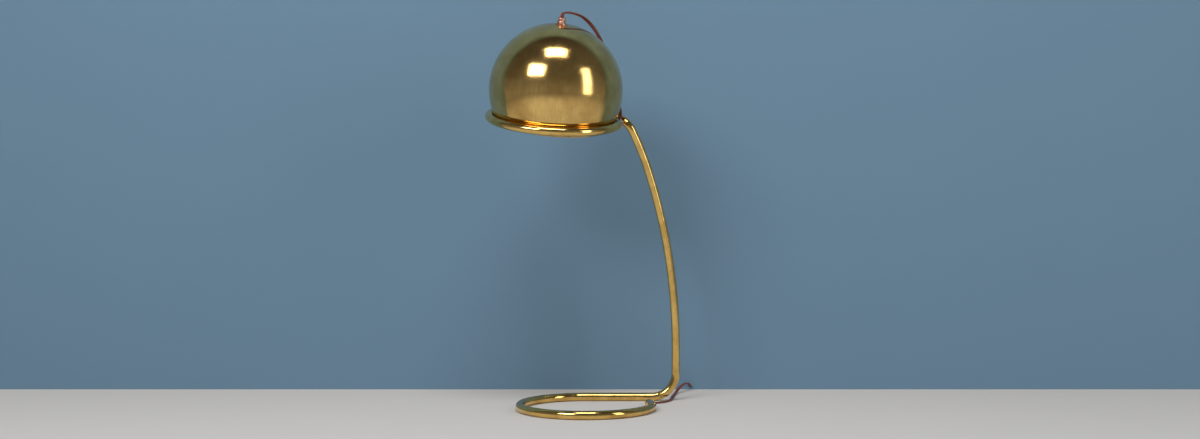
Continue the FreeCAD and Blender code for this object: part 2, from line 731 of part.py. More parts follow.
def biarc(a, along_a, b, along_b):
    """Two arcs that join a to b and touch both directions."""
    chord = b - a
    total = along_a + along_b
    quadratic = 2 * (1 - along_a.dot(along_b))
    linear = chord.dot(total)
    reach = (-linear + math.sqrt(linear**2 + quadratic * chord.dot(chord))) / quadratic
    from_a = a + along_a * reach
    from_b = b - along_b * reach
    joint = (from_a + from_b) / 2
    along_joint = (from_b - from_a).normalize()

    def tangent_arc(start, along, end):
        reach_chord = end - start
        tilt = along.getAngle(reach_chord)
        radius = reach_chord.Length / (2 * math.sin(tilt))
        side = (reach_chord - along * reach_chord.dot(along)).normalize()
        to_start = side * -1
        centre = start + side * radius
        swing = FreeCAD.Rotation(along.cross(side), math.degrees(tilt))
        return arc(start, centre + swing.multVec(to_start) * radius, end)

    first = tangent_arc(a, along_a, joint)
    second = tangent_arc(joint, along_joint, b)
    return [first, second]


def cord_coil():
    """The put-away length: spirals in on the floor, climbs a layer and spirals out again."""
    edges = []
    here, _ = coil_node(0)
    along = vec(0, 1, 0)
    start = here - along * CORD_DIAMETER
    edges.append(line(start, here))
    for quarter in range(1, COIL_QUARTERS + 1):
        there, onward = coil_node(quarter)
        if quarter == COIL_QUARTERS:
            onward = vec(1, 0, 0)
        edges += biarc(here, along, there, onward)
        here, along = there, onward
    end = here + X_AXIS * CORD_DIAMETER
    edges.append(line(here, end))
    coil = swept(edges, CORD_RADIUS, start, vec(0, 1, 0))
    length = sum(edge.Length for edge in edges)
    share = coil.Volume / (math.pi * CORD_RADIUS**2 * length)
    print("coil length", round(length, 1), "volume share", round(share, 4),
          "least gap", round(least_gap(edges, 6), 2))
    return coil, start, end


def least_gap(edges, per_edge):
    """Least free space between stretches of the cord that are over half a turn apart."""
    points = []
    run = 0.0
    for edge in edges:
        for step in range(per_edge):
            share = step / per_edge
            place = edge.valueAt(edge.FirstParameter
                                 + share * (edge.LastParameter - edge.FirstParameter))
            points.append((run + share * edge.Length, place))
        run += edge.Length
    apart = 8 * CORD_DIAMETER
    least = min((p - q).Length for n, (s, p) in enumerate(points)
                for t, q in points[n:] if t - s > apart)
    return least - CORD_DIAMETER


# ---- plug ----
def rounded_outline(width, height, corner, y):
    """A rounded rectangle square to Y, its middle on the Y axis."""
    left = -width / 2
    right = width / 2
    low = -height / 2
    high = height / 2
    cut = corner * (1 - math.sqrt(0.5))
    p = [vec(left + corner, y, low), vec(right - corner, y, low), vec(right, y, low + corner),
         vec(right, y, high - corner), vec(right - corner, y, high), vec(left + corner, y, high),
         vec(left, y, high - corner), vec(left, y, low + corner)]
    middles = [vec(right - cut, y, low + cut), vec(right - cut, y, high - cut),
               vec(left + cut, y, high - cut), vec(left + cut, y, low + cut)]
    return Part.Wire([
        line(p[0], p[1]), arc(p[1], middles[0], p[2]), line(p[2], p[3]), arc(p[3], middles[1], p[4]),
        line(p[4], p[5]), arc(p[5], middles[2], p[6]), line(p[6], p[7]), arc(p[7], middles[3], p[0]),
    ])


def plug_body():
    """Moulded two-blade plug with a tapered strain relief."""
    relief = Part.makeLoft([
        rounded_outline(CORD_DIAMETER + RELIEF_TIP_WIDER, CORD_DIAMETER + RELIEF_TIP_HIGHER,
                        RELIEF_TIP_CORNER, 0),
        rounded_outline(CORD_DIAMETER + RELIEF_FOOT_WIDER, CORD_DIAMETER + RELIEF_FOOT_HIGHER,
                        RELIEF_FOOT_CORNER, -PLUG_NOSE),
    ], True, True)
    body = Part.makeLoft([
        rounded_outline(PLUG_WIDTH - SHOULDER_NARROWER, PLUG_HEIGHT - SHOULDER_LOWER,
                        SHOULDER_CORNER, -PLUG_NOSE),
        rounded_outline(PLUG_WIDTH, PLUG_HEIGHT, PLUG_CORNER, -PLUG_NOSE - PLUG_SHOULDER),
        rounded_outline(PLUG_WIDTH, PLUG_HEIGHT, PLUG_CORNER, -PLUG_LENGTH),
    ], True, True)
    face = [e for e in body.Edges if e.BoundBox.YMax < -PLUG_LENGTH + 0.01]
    body = body.makeFillet(PLUG_FACE_ROUND, face)
    slots = []
    for side in (-1, 1):
        slots.append(blade(side, BLADE_THICKNESS + 2 * CLEARANCE, BLADE_WIDTH + 2 * CLEARANCE))
    plug = relief.fuse(body)
    for slot in slots:
        plug = plug.cut(slot)
    plug.translate(PLUG_BACK)
    return plug


def blade(side, thickness, width):
    """A square bar on one side of the plug, from its tip to its root in the body."""
    return Part.makeBox(thickness, BLADE_LENGTH + BLADE_ROOT, width,
                        vec(side * BLADE_SPACING / 2 - thickness / 2, -PLUG_LENGTH - BLADE_LENGTH,
                            -width / 2))


def plug_blades():
    """Two flat blades with rounded tips, seated in the body."""
    blades = []
    for side in (-1, 1):
        bar = blade(side, BLADE_THICKNESS, BLADE_WIDTH)
        tip = [e for e in bar.Edges if e.BoundBox.YMax < -PLUG_LENGTH - BLADE_LENGTH + 0.01
               and e.BoundBox.XLength > 1]
        bar = bar.makeFillet(BLADE_WIDTH * BLADE_TIP_SHARE, tip)
        bar.translate(PLUG_BACK)
        blades.append(bar)
    return Part.makeCompound(blades)


# ---- assembly ----
def build():
    parts = {}
    parts["base_ring_tube"] = BASE_ROUTE.tube(TUBE_RADIUS, TUBE_BORE)
    parts["stem_tube"] = STEM_ROUTE.tube(TUBE_RADIUS, TUBE_BORE)
    parts["shade_ring_tube"] = SHADE_RING_ROUTE.tube(TUBE_RADIUS, TUBE_BORE)
    parts["base_end_bush"] = placed(end_bush(), BASE_END, facing(BASE_END_OUT))
    parts["shade_ring_end_bush"] = placed(end_bush(), SHADE_END, facing(SHADE_END_OUT))
    edges, parts["inner_cord"] = inner_cord()
    print("cord in the tube", round(sum(edge.Length for edge in edges), 1))

    shell, top, under = dome()
    grip, seat, grip_end = gland(top)
    cap_top = under - WASHER_THICKNESS - LOCKNUT_HEIGHT
    shell_top = cap_top - HOLDER_CAP_HEIGHT
    block, block_low = base_block(shell_top)
    mouth = shell_top - HOLDER_SHELL_LENGTH
    contact_low = block_low - CONTACT_DROP
    bore = NIPPLE_RADIUS + CLEARANCE
    nut = hexagon(LOCKNUT_ACROSS_FLATS, LOCKNUT_HEIGHT, cap_top)
    on_shade = {
        "dome": shell,
        "cord_gland": grip,
        "dome_top_washer": washer(top),
        "dome_inner_washer": washer(under - WASHER_THICKNESS),
        "nipple": nipple(seat, cap_top),
        "locknut": nut.cut(cylinder(bore, LOCKNUT_HEIGHT, cap_top)),
        "holder_cap": holder_cap(cap_top),
        "cap_set_screw": set_screw(cap_top),
        "holder_shell": holder_shell(shell_top),
        "holder_liner": holder_liner(shell_top),
        "holder_base_block": block,
        "screw_socket": screw_socket(block_low),
        "centre_contact": centre_contact(block_low),
        "terminal_screws": terminal_screws(shell_top),
        "bulb_glass": bulb(mouth),
        "bulb_cap": bulb_cap(mouth, contact_low),
        "switch_shaft": switch_shaft(shell_top),
        "switch_knob": switch_knob(shell_top),
    }
    for name, shape in on_shade.items():
        parts[name] = placed(shape, DOME_CENTRE, DOME_TURN)

    gland_axis = DOME_TURN.multVec(Z_AXIS)
    gland_mouth = DOME_CENTRE + gland_axis * grip_end
    parts["shade_cord"] = cord_tube("shade cord", shade_cord_points(gland_mouth, gland_axis))
    parts["cord_coil"], coil_start, coil_end = cord_coil()
    parts["outlet_cord"] = cord_tube("outlet cord", outlet_cord_points(coil_start))
    parts["tail_cord"] = cord_tube("tail cord", tail_cord_points(coil_end))
    parts["plug_body"] = plug_body()
    parts["plug_blades"] = plug_blades()
    return parts


def report_places():
    print("shade ring centre", [round(c, 2) for c in RING_CENTRE])
    print("shade ring end", [round(c, 2) for c in SHADE_END])
    print("neck start", [round(c, 2) for c in STEM_ROUTE.edges[-2].Vertexes[0].Point])
    print("dome centre", [round(c, 2) for c in DOME_CENTRE])
    print("base end", [round(c, 2) for c in BASE_END])


def main():
    os.makedirs("parts", exist_ok=True)
    report_places()
    for name, shape in build().items():
        shape.exportStep("parts/" + name + ".step")
        print(name, "solids", len(shape.Solids), "valid", shape.isValid(),
              "volume", round(shape.Volume, 1))


main()
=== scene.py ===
import math

import bpy
from mathutils import Matrix, Vector


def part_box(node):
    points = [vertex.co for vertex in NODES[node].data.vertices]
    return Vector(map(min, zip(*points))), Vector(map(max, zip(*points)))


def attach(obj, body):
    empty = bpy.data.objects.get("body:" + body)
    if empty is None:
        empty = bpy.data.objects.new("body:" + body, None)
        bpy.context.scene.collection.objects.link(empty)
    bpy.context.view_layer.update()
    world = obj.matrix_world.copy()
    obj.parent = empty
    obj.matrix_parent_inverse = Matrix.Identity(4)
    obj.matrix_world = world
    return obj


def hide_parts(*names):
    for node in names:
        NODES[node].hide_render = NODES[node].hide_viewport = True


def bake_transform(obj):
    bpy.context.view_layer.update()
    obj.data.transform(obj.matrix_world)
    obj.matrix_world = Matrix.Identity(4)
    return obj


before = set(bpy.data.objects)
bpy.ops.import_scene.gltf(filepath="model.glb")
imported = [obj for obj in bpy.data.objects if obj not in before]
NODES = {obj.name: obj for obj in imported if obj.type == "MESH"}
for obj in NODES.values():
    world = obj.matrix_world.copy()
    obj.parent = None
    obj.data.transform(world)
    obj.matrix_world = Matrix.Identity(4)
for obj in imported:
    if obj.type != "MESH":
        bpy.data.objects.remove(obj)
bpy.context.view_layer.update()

# The lamp in a plain studio: the looks of its pieces, its flat twin cord, the coil's tie and the
# plug's grip ribs. Places are in metres in the lamp's own frame, with the viewer at -Y.

MM = 0.001
X_AXIS = Vector((1.0, 0.0, 0.0))
Z_AXIS = Vector((0.0, 0.0, 1.0))

# ---- the photograph's frame ----
PHOTO_WIDTH = 1200
FOCAL_PIXELS = 1327
SENSOR_WIDTH = 36.0
CAMERA_AT = Vector((0.0212, -2.007, 0.288))

# ---- stage ----
WALL_Y = 0.243                   # the far edge of the table in the photograph
WALL_HALF = 3.2
WALL_TOP = 3.0
WALL_COLOR = (0.135, 0.235, 0.33)
FLOOR_HALF = 30.0
FLOOR_COLOR = (0.72, 0.71, 0.69)
FLOOR_LIT_RADIUS = 0.7           # only the lamps light the floor as far as this
FLOOR_EVEN_RADIUS = 2.6          # from here on it is evenly pale
FLOOR_EVEN_COLOR = (0.56, 0.555, 0.55)
STAGE_LIGHTER = 1.02             # the soft clouds in the floor and the wall
STAGE_DARKER = 0.985
ROOM_TONES = [                   # by height, from the horizon to overhead
    (0.0, (0.50, 0.50, 0.50)),
    (0.30, (0.30, 0.30, 0.30)),
    (1.0, (0.14, 0.14, 0.15)),
]
REFLECTED_ROOM = 0.45            # how bright the room is in the brass, of its full light
LIGHTS_AIM = (0.0, 0.0, 0.35)

# ---- dome ----
DOME_CENTRE = Vector((-0.04597, 0.01279, 0.48445))
DOME_INNER_RADIUS = 0.101
DOME_INNER_MARGIN = 0.0003       # what is this near to the inner face counts as inside
DOME_LEAN_FRONT = 17.0
DOME_LEAN_RIGHT = 5.5

# ---- twin cord ----
CORD_WIDTH = 0.0054
CORD_THICKNESS = 0.0027
CORE_POINTS = 9                  # points of the outline round each core
CORE_HALF_ARC = 72.0             # degrees that they go round to either side
ROUTE_STEPS = 8                  # points of the curve between two points of its route
SAME_PLACE = 1e-5                # points nearer than this are one

# ---- routes of the cord's middle, in mm ----
FLAT_ON_FLOOR = 1.4
COIL_CENTRE = (219.5, 300.0)
COIL_OUTER_RADIUS = 43.0
COIL_PITCH = 5.9
COIL_LAYER = 5.9
COIL_FLOOR = 3.4
COIL_START_ANGLE = 180.0
QUARTERS_IN = 16                 # quarter turns of the layer on the floor
QUARTERS = 29                    # quarter turns of both layers
STEPS_PER_QUARTER = 4
SHADE_CORD_ROUTE = [
    (-35.73, -19.84, 590.70), (-35.2, -21.5, 596.2), (-30.0, -20.6, 598.0),
    (-21.5, -15.0, 598.3), (-11.5, -7.0, 596.6), (-2.0, 6.0, 593.5), (9.5, 24.0, 584.5),
    (21.0, 44.5, 569.0), (33.5, 66.0, 542.0), (43.0, 75.5, 511.0), (49.0, 67.0, 484.0),
    (51.5, 58.0, 467.0), (52.5, 47.0, 455.0), (52.8, 37.0, 445.5), (50.7, 31.9, 437.7),
    (50.6, 25.63, 436.0),
]
OUTLET_ROUTE = [
    (96.20, 27.33, 6.5), (93.87, 36.02, 6.5), (94.5, 48.0, 3.6),
    (101.5, 60.5, FLAT_ON_FLOOR), (115.0, 71.0, FLAT_ON_FLOOR), (127.5, 84.5, FLAT_ON_FLOOR),
    (134.0, 102.0, FLAT_ON_FLOOR), (137.0, 125.0, FLAT_ON_FLOOR), (141.0, 155.0, FLAT_ON_FLOOR),
    (146.0, 181.0, 2.2), (152.5, 199.0, 8.0), (161.5, 216.0, 12.6), (170.0, 230.0, 12.4),
    (175.5, 245.0, 3.4), (176.5, 264.0, COIL_FLOOR), (176.5, 280.0, COIL_FLOOR),
]
TAIL_ROUTE = [
    (237.5, 338.68, 9.3), (268.2, 335.0, 7.6), (279.2, 321.0, 6.5), (279.2, 303.0, 6.5),
]

# ---- which way the cord's wide side points ----
SHADE_CORD_SIDES = [             # share of the cord's points, direction
    (0.0, (0.9, 0.3, 0.0)),
    (0.12, (0.5, -0.85, 0.1)),
    (0.25, (0.5, -0.8, 0.1)),
    (0.45, (0.6, 0.1, 0.8)),
    (0.7, (0.6, -0.8, 0.0)),
    (1.0, (1.0, 0.0, 0.0)),
]
OUTLET_FLAT_LENGTH = 0.30        # metres from the lamp that lie flat
OUTLET_STANDS_FROM = 0.34        # metres from the lamp after which the cord stands on its edge
TAIL_LENGTH = 0.06               # metres before the plug, in which it turns flat again
COIL_SWAYS = ((0.25, 61.0), (0.12, 173.0))      # how far and how fast it sways in the coil

# ---- the coil's tie, in mm ----
TIE_ANGLE = -62.0                # where it crosses the coil
TIE_LOW = 0.35                   # heights and radii of the band's middle
TIE_HIGH = 12.4
TIE_NEAR = 15.9
TIE_FAR = 46.4
TIE_CORNER = 2.2
TIE_CORNER_STEPS = 6
TIE_HALF_WIDTH = 1.6
TIE_HALF_THICKNESS = 0.25
TIE_END_RADIUS_OUT = 30.0        # where the twisted ends leave the band
TIE_END_HEIGHT = 12.9
TIE_END_STEPS = 48
TIE_END_TURNS = 3
TIE_END_LENGTH = 17.0
TIE_END_LIFT = 1.6
TIE_END_BOW = 2.4
TIE_END_RISE = 0.6
TIE_END_APART = 0.75             # from the middle of the twist to the middle of each end
TIE_END_PARTS_FROM = 0.75        # share of the length after which the ends part
TIE_END_PARTING = 1.6
TIE_END_RADIUS = 0.55
ROD_SIDES = 10
ROD_FIRST_SIDE = Vector((0.3, 0.2, 0.93))

# ---- the plug's grip ribs, in mm ----
RIBS = 5
RIB_LENGTH = 16.0
RIB_STEPS = 8
RIB_START = 4.0                  # from the plug's face
RIB_PITCH = 2.4
RIB_HALF_WIDTH = 0.6
RIB_HEIGHT = 0.45
RIB_SINK = 0.1


# ---- small helpers ----
def look_at(place, target):
    """A turn that points -Z from place to target, with +Y up."""
    return (target - place).to_track_quat("-Z", "Y").to_euler()


def eased(share):
    """0 to 1 with a soft start and a soft end."""
    return share * share * (3 - 2 * share)


def add_object(name, data):
    obj = bpy.data.objects.new(name, data)
    bpy.context.scene.collection.objects.link(obj)
    return obj


def mesh_object(name, verts, faces, smooth=True):
    mesh = bpy.data.meshes.new(name)
    mesh.from_pydata([tuple(v) for v in verts], [], faces)
    mesh.update()
    if smooth:
        mesh.polygons.foreach_set("use_smooth", [True] * len(mesh.polygons))
    return add_object(name, mesh)


# ---- material helpers ----
def new_material(name, color, metallic=0.0, roughness=0.5):
    material = bpy.data.materials.new(name)
    material.use_nodes = True
    shader = material.node_tree.nodes["Principled BSDF"]
    shader.inputs["Base Color"].default_value = (*color, 1.0)
    shader.inputs["Metallic"].default_value = metallic
    shader.inputs["Roughness"].default_value = roughness
    return material, shader


def add_node(material, kind, **values):
    """A shader node; values set its properties, or its sockets where the name is a socket's."""
    node = material.node_tree.nodes.new(kind)
    for key, value in values.items():
        if key in node.inputs:
            node.inputs[key].default_value = value
        else:
            setattr(node, key, value)
    return node


def link(material, out, into):
    material.node_tree.links.new(out, into)


def position(material, turn=None, centre=None):
    """Object coordinates in metres, or a piece's own ones if its turn and centre are given."""
    source = add_node(material, "ShaderNodeTexCoord").outputs["Object"]
    if centre is None:
        return source
    mapping = add_node(material, "ShaderNodeMapping", vector_type="TEXTURE")
    mapping.inputs["Location"].default_value = centre
    mapping.inputs["Rotation"].default_value = turn
    link(material, source, mapping.inputs["Vector"])
    return mapping.outputs["Vector"]


def noise(material, vector, scale, detail=4.0, roughness=0.55):
    node = add_node(material, "ShaderNodeTexNoise", Scale=scale, Detail=detail, Roughness=roughness)
    link(material, vector, node.inputs["Vector"])
    return node.outputs["Fac"]


def ramp(material, value, stops):
    """Colours or greys at places along 0 to 1."""
    node = add_node(material, "ShaderNodeValToRGB")
    elements = node.color_ramp.elements
    while len(elements) < len(stops):
        elements.new(0.5)
    for element, (place, color) in zip(elements, stops):
        element.position = place
        element.color = (*color, 1.0) if isinstance(color, tuple) else (color, color, color, 1.0)
    link(material, value, node.inputs["Fac"])
    return node.outputs["Color"]


def spread(material, value, low, high):
    """A value of 0 to 1, spread over low to high."""
    node = add_node(material, "ShaderNodeMapRange")
    node.inputs["To Min"].default_value = low
    node.inputs["To Max"].default_value = high
    link(material, value, node.inputs["Value"])
    return node.outputs["Result"]


def mix_color(material, factor, a, b):
    """From a to b by the factor; each is a colour or a socket."""
    node = add_node(material, "ShaderNodeMix", data_type="RGBA")
    link(material, factor, node.inputs[0])
    for socket, value in ((node.inputs[6], a), (node.inputs[7], b)):
        if isinstance(value, tuple):
            socket.default_value = (*value, 1.0)
        else:
            link(material, value, socket)
    return node.outputs[2]


def bump(material, shader, height, strength, distance):
    node = add_node(material, "ShaderNodeBump", Strength=strength, Distance=distance)
    link(material, height, node.inputs["Height"])
    link(material, node.outputs["Normal"], shader.inputs["Normal"])


# ---- materials ----
def brass_material(name, light, dark, low, high):
    """Polished brass: tarnish in clouds and specks, wiped roughness and shallow dents."""
    speck = (0.36, 0.22, 0.08)
    material, shader = new_material(name, light, metallic=1.0)
    place = position(material)
    clouds = noise(material, place, scale=28.0, detail=6.0, roughness=0.6)
    tarnish = ramp(material, clouds, [(0.42, 0.0), (0.72, 1.0)])
    worn = mix_color(material, tarnish, light, dark)
    dots = noise(material, place, scale=420.0, detail=3.0, roughness=0.6)
    specks = ramp(material, dots, [(0.64, 0.0), (0.72, 1.0)])
    link(material, mix_color(material, specks, worn, speck), shader.inputs["Base Color"])
    wipes = noise(material, place, scale=160.0, detail=8.0, roughness=0.65)
    link(material, spread(material, wipes, low, high), shader.inputs["Roughness"])
    dents = noise(material, place, scale=55.0, detail=2.0)
    bump(material, shader, dents, strength=0.06, distance=0.001)
    return material


def dome_streaks(material, local):
    """Noise that is drawn out from the rim to the top of the dome."""
    split = add_node(material, "ShaderNodeSeparateXYZ")
    link(material, local, split.inputs["Vector"])
    around = add_node(material, "ShaderNodeMath", operation="ARCTAN2")
    link(material, split.outputs["Y"], around.inputs[0])
    link(material, split.outputs["X"], around.inputs[1])
    place = add_node(material, "ShaderNodeCombineXYZ")
    link(material, around.outputs["Value"], place.inputs["X"])
    link(material, split.outputs["Z"], place.inputs["Y"])
    return noise(material, place.outputs["Vector"], scale=30.0, detail=8.0, roughness=0.72)


def dome_inside(material, local):
    """1 on the inside of the dome's wall, and 0 on its outside."""
    reach = add_node(material, "ShaderNodeVectorMath", operation="LENGTH")
    link(material, local, reach.inputs[0])
    inside = add_node(material, "ShaderNodeMath", operation="LESS_THAN")
    link(material, reach.outputs["Value"], inside.inputs[0])
    inside.inputs[1].default_value = DOME_INNER_RADIUS + DOME_INNER_MARGIN
    return inside.outputs["Value"]


def dome_material():
    """Spun and polished brass: streaks that run up the dome, clouds of tarnish, satin inside."""
    light = (0.86, 0.58, 0.20)
    dark = (0.50, 0.29, 0.08)
    streak = (0.60, 0.37, 0.12)
    speck = (0.42, 0.27, 0.10)
    satin_roughness = 0.25
    material, shader = new_material("dome_brass", light, metallic=1.0)
    local = position(material, dome_turn().to_euler(), DOME_CENTRE)
    streaks = dome_streaks(material, local)
    clouds = noise(material, local, scale=24.0, detail=7.0, roughness=0.62)
    dots = noise(material, local, scale=260.0, detail=3.0, roughness=0.6)
    specks = ramp(material, dots, [(0.66, 0.0), (0.74, 1.0)])
    tarnish = ramp(material, clouds, [(0.40, 0.0), (0.72, 1.0)])
    worn = mix_color(material, tarnish, light, dark)
    streak_share = ramp(material, streaks, [(0.42, 0.0), (0.70, 0.8)])
    streaked = mix_color(material, streak_share, worn, streak)
    link(material, mix_color(material, specks, streaked, speck), shader.inputs["Base Color"])
    satin = add_node(material, "ShaderNodeMath", operation="MULTIPLY_ADD")
    link(material, dome_inside(material, local), satin.inputs[0])
    satin.inputs[1].default_value = satin_roughness
    link(material, spread(material, streaks, 0.02, 0.24), satin.inputs[2])
    link(material, satin.outputs["Value"], shader.inputs["Roughness"])
    bump(material, shader, streaks, strength=0.22, distance=0.0004)
    return material


def copper_material():
    """Copper-coloured metal, darker where it is worn."""
    light = (0.88, 0.50, 0.36)
    dark = (0.60, 0.27, 0.16)
    material, shader = new_material("gland_copper", (0.86, 0.47, 0.33), metallic=1.0)
    worn = noise(material, position(material), scale=300.0, detail=6.0, roughness=0.6)
    share = ramp(material, worn, [(0.4, 0.0), (0.75, 1.0)])
    link(material, mix_color(material, share, light, dark), shader.inputs["Base Color"])
    link(material, spread(material, worn, 0.12, 0.32), shader.inputs["Roughness"])
    bump(material, shader, worn, strength=0.1, distance=0.0002)
    return material


def plastic_material(name, light, dark, low, high):
    """Moulded plastic with a fine grain and slightly uneven colour."""
    material, shader = new_material(name, light)
    place = position(material)
    clouds = noise(material, place, scale=60.0)
    link(material, mix_color(material, clouds, light, dark), shader.inputs["Base Color"])
    grain = noise(material, place, scale=900.0)
    link(material, spread(material, grain, low, high), shader.inputs["Roughness"])
    bump(material, shader, grain, strength=0.12, distance=0.0002)
    return material


def metal_material(name, light, dark, low, high):
    """Plain metal, slightly uneven in colour and polish."""
    material, shader = new_material(name, light, metallic=1.0)
    clouds = noise(material, position(material), scale=180.0, detail=6.0, roughness=0.6)
    link(material, mix_color(material, clouds, light, dark), shader.inputs["Base Color"])
    link(material, spread(material, clouds, low, high), shader.inputs["Roughness"])
    return material


def frosted_glass_material():
    material, shader = new_material("bulb_glass", (0.93, 0.92, 0.88), roughness=0.35)
    shader.inputs["Transmission Weight"].default_value = 0.35
    shader.inputs["Subsurface Weight"].default_value = 0.3
    shader.inputs["Subsurface Radius"].default_value = (0.01, 0.01, 0.01)
    frost = noise(material, position(material), scale=1500.0, detail=3.0)
    link(material, spread(material, frost, 0.28, 0.42), shader.inputs["Roughness"])
    bump(material, shader, frost, strength=0.05, distance=0.0001)
    return material


def cord_material():
    """Aged brown vinyl, a little redder where it is worn."""
    brown = (0.10, 0.024, 0.017)
    worn = (0.24, 0.052, 0.030)
    material, shader = new_material("cord_brown", (0.15, 0.035, 0.022), roughness=0.42)
    place = position(material)
    clouds = noise(material, place, scale=45.0, detail=5.0)
    share = ramp(material, clouds, [(0.3, 0.0), (0.7, 1.0)])
    link(material, mix_color(material, share, brown, worn), shader.inputs["Base Color"])
    grain = noise(material, place, scale=700.0)
    link(material, spread(material, grain, 0.32, 0.5), shader.inputs["Roughness"])
    bump(material, shader, grain, strength=0.15, distance=0.0002)
    return material


def make_materials():
    return {
        "brass": brass_material("tube_brass", (0.84, 0.56, 0.18), (0.54, 0.33, 0.09), 0.05, 0.17),
        "dome": dome_material(),
        "copper": copper_material(),
        "holder": metal_material("holder_brass", (0.74, 0.57, 0.28), (0.62, 0.44, 0.19),
                                 0.25, 0.4),
        "socket": metal_material("contact_brass", (0.80, 0.66, 0.36), (0.66, 0.5, 0.24),
                                 0.2, 0.35),
        "steel": metal_material("zinc_steel", (0.62, 0.62, 0.60), (0.5, 0.5, 0.49), 0.25, 0.42),
        "aluminium": metal_material("cap_aluminium", (0.82, 0.82, 0.81), (0.7, 0.7, 0.7),
                                    0.25, 0.4),
        "glass": frosted_glass_material(),
        "fibre": plastic_material("liner_fibre", (0.55, 0.47, 0.35), (0.45, 0.37, 0.26), 0.7, 0.9),
        "phenolic": plastic_material("phenolic", (0.035, 0.028, 0.024), (0.05, 0.035, 0.03),
                                     0.2, 0.35),
        "bush": plastic_material("bush_plastic", (0.05, 0.035, 0.03), (0.07, 0.05, 0.04),
                                 0.4, 0.6),
        "cord": cord_material(),
        "tie": plastic_material("tie_paper", (0.03, 0.03, 0.032), (0.05, 0.05, 0.05), 0.5, 0.7),
        "plug": plastic_material("plug_vinyl", (0.10, 0.03, 0.02), (0.14, 0.04, 0.028),
                                 0.35, 0.55),
    }


def dress_cad_nodes(materials):
    by_node = {
        "brass": ["base_ring_tube", "stem_tube", "shade_ring_tube"],
        "dome": ["dome"],
        "copper": ["cord_gland", "dome_top_washer"],
        "holder": ["holder_cap", "holder_shell"],
        "socket": ["screw_socket", "centre_contact", "plug_blades"],
        "steel": ["dome_inner_washer", "nipple", "locknut", "cap_set_screw", "terminal_screws",
                  "switch_shaft"],
        "aluminium": ["bulb_cap"],
        "glass": ["bulb_glass"],
        "fibre": ["holder_liner"],
        "phenolic": ["holder_base_block", "switch_knob"],
        "bush": ["base_end_bush", "shade_ring_end_bush"],
        "cord": ["inner_cord"],
        "plug": ["plug_body"],
    }
    for kind, names in by_node.items():
        for name in names:
            mesh = NODES[name].data
            mesh.materials.clear()
            mesh.materials.append(materials[kind])


# ---- camera, stage and lights ----
def dome_turn():
    """The dome's lean: first to the viewer, then to the right."""
    front = Matrix.Rotation(math.radians(DOME_LEAN_FRONT), 3, "X")
    return Matrix.Rotation(math.radians(DOME_LEAN_RIGHT), 3, "Y") @ front


def make_camera():
    data = bpy.data.cameras.new("camera")
    data.sensor_width = SENSOR_WIDTH
    data.sensor_fit = "HORIZONTAL"
    data.lens = FOCAL_PIXELS / PHOTO_WIDTH * SENSOR_WIDTH
    camera = add_object("camera", data)
    camera.location = CAMERA_AT
    camera.rotation_euler = (math.radians(90), 0, 0)
    bpy.context.scene.camera = camera


def seen_directly(material):
    """1 for rays from the camera, from a reflection and through glass, and 0 for all others."""
    path = add_node(material, "ShaderNodeLightPath")
    seen = path.outputs["Is Camera Ray"]
    for ray in ("Is Glossy Ray", "Is Transmission Ray"):
        either = add_node(material, "ShaderNodeMath", operation="MAXIMUM")
        link(material, seen, either.inputs[0])
        link(material, path.outputs[ray], either.inputs[1])
        seen = either.outputs["Value"]
    return seen


def dimmed_in_reflections(material):
    """1, but REFLECTED_ROOM for rays that come from a reflection."""
    glossy = add_node(material, "ShaderNodeLightPath").outputs["Is Glossy Ray"]
    dimming = add_node(material, "ShaderNodeMath", operation="MULTIPLY_ADD")
    link(material, glossy, dimming.inputs[0])
    dimming.inputs[1].default_value = REFLECTED_ROOM - 1.0
    dimming.inputs[2].default_value = 1.0
    return dimming.outputs["Value"]


def stage_material(name, color):
    """Plain paper, a shade lighter and darker in large soft clouds."""
    material, shader = new_material(name, color, roughness=0.85)
    clouds = noise(material, position(material), scale=6.0, detail=3.0)
    lighter = tuple(min(1.0, c * STAGE_LIGHTER) for c in color)
    darker = tuple(c * STAGE_DARKER for c in color)
    link(material, mix_color(material, clouds, darker, lighter), shader.inputs["Base Color"])
    return material, shader


def mix_surface(material, factor, shader_a, shader_b):
    """Shows shader_a where the factor is 0, and shader_b where it is 1."""
    mixer = add_node(material, "ShaderNodeMixShader")
    link(material, factor, mixer.inputs[0])
    link(material, shader_a.outputs[0], mixer.inputs[1])
    link(material, shader_b.outputs[0], mixer.inputs[2])
    output = material.node_tree.nodes["Material Output"]
    link(material, mixer.outputs[0], output.inputs["Surface"])


def backdrop_material():
    """Blue-grey paper that shows only its front and lets the lamps' light through."""
    material, shader = stage_material("backdrop_blue_grey", WALL_COLOR)
    side = add_node(material, "ShaderNodeNewGeometry")
    front = add_node(material, "ShaderNodeMath", operation="GREATER_THAN")
    link(material, seen_directly(material), front.inputs[0])
    link(material, side.outputs["Backfacing"], front.inputs[1])
    clear = add_node(material, "ShaderNodeBsdfTransparent")
    mix_surface(material, front.outputs["Value"], clear, shader)
    return material


